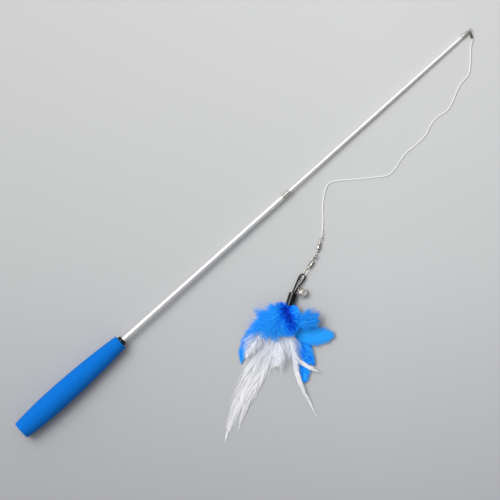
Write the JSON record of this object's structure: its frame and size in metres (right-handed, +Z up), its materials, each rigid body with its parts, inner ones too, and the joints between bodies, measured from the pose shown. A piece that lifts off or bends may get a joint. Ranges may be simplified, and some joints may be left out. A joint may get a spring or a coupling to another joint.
{
  "type": "feather cat wand",
  "caption": "Telescopic cat teaser wand with a foam grip, and a string with a swivel snap that carries a lure of blue and white feathers with a jingle bell.",
  "frame": {"origin": "on the table, under the middle of everything but the string", "axes": "+X along the rod from the butt to the tip, +Y to the rod's left, +Z up from the table"},
  "size_m": [0.6622, 0.217, 0.0256],
  "materials": {
    "blue_foam": "fine-grained matte foam",
    "black_plastic": "satin moulded",
    "silver_tube": "bright drawn tube",
    "nickel": "nickel plated",
    "dark_metal": "blackened",
    "brass": "bare",
    "white_cord": "smooth braided cord",
    "black_cord": "smooth waxed cord",
    "glossy_sleeve": "glossy",
    "thread": "thread set in glue",
    "blue_feather": "dyed feather",
    "white_feather": "natural feather"
  },
  "bodies": {
    "handle": {"foam_grip": "blue_foam", "butt_plug": "black_plastic", "grip_core": "black_plastic", "front_collar": "black_plastic", "outer_tube": "silver_tube", "neck_collar": "nickel"},
    "slider": {"friction_sleeve": "brass"},
    "rod": {"inner_tube": "silver_tube", "tip_ferrule": "nickel", "tip_eye": "nickel"},
    "cord": {"clip_loop": "dark_metal", "clip_crimp": "dark_metal", "tip_knot": "white_cord", "string": "white_cord", "swivel_knot": "white_cord", "swivel_tie": "white_cord", "swivel_top_eye": "nickel"},
    "barrel": {"swivel_barrel": "nickel"},
    "lower_eye": {"swivel_bottom_eye": "nickel"},
    "snap": {"snap_wire": "nickel", "snap_cuff": "nickel"},
    "gate": {"snap_gate": "nickel"},
    "lure": {"lure_loop": "black_cord", "lure_sleeve": "glossy_sleeve", "quill_binding": "thread", "white_hackle_long": "white_feather", "white_hackle_second": "white_feather", "white_hackle_thin": "white_feather", "white_feather_small": "white_feather", "white_fluff_left": "white_feather", "white_fluff_middle": "white_feather", "white_fluff_right": "white_feather", "blue_feather_left": "blue_feather", "blue_feather_lower": "blue_feather", "blue_feather_lower_right": "blue_feather", "blue_feather_right": "blue_feather", "marabou_left": "blue_feather", "marabou_right": "blue_feather", "marabou_top": "blue_feather"},
    "bell": {"bell_ring": "nickel", "bell_staple": "nickel", "bell_top_shell": "nickel", "bell_bottom_shell": "nickel"},
    "pellet": {"bell_pellet": "nickel"}
  },
  "joints": [
    {"name": "rod_extend", "type": "slide", "parent": "handle", "child": "slider", "axis": [0.9998, 0, -0.0177], "range_m": [-0.25, 0]},
    {"name": "rod_twist", "type": "hinge", "parent": "slider", "child": "rod", "pos_m": [-0.33096, 0.09576, 0.01376], "axis": [0.9998, 0, -0.0177], "continuous": true},
    {"name": "cord_swing", "type": "hinge", "parent": "rod", "child": "cord", "pos_m": [0.32924, 0.09576, 0.00211], "axis": [0, 0, 1], "range_deg": [-3, 200]},
    {"name": "barrel_spin", "type": "hinge", "parent": "cord", "child": "barrel", "pos_m": [0.05422, 0.03326, 0.00275], "axis": [-0.859, -0.512, 0], "continuous": true},
    {"name": "lower_eye_spin", "type": "hinge", "parent": "barrel", "child": "lower_eye", "pos_m": [0.05422, 0.03326, 0.00275], "axis": [-0.859, -0.512, 0], "continuous": true},
    {"name": "snap_swing", "type": "hinge", "parent": "lower_eye", "child": "snap", "pos_m": [0.0367, 0.02282, 0.00275], "axis": [0, 0, 1], "range_deg": [-30, 40]},
    {"name": "snap_open", "type": "hinge", "parent": "snap", "child": "gate", "pos_m": [0.00829, 0.01446, 0.00422], "axis": [0.2037, -0.7934, -0.5736], "range_deg": [0, 20], "stiffness_Nm_per_rad": 0.02},
    {"name": "lure_swing", "type": "hinge", "parent": "snap", "child": "lure", "pos_m": [0.01442, 0.0171, 0.00275], "axis": [0.3223, -0.9466, 0], "range_deg": [-60, 60]},
    {"name": "bell_swing", "type": "hinge", "parent": "lure", "child": "bell", "pos_m": [-0.00007, 0.01028, 0.00421], "axis": [-0.9771, -0.1831, 0.1085], "range_deg": [-90, 90]},
    {"name": "pellet_roll", "type": "hinge", "parent": "bell", "child": "pellet", "pos_m": [-0.00023, 0.00299, 0.00545], "axis": [-0.0224, -0.9857, 0.1673], "continuous": true}
  ]
}
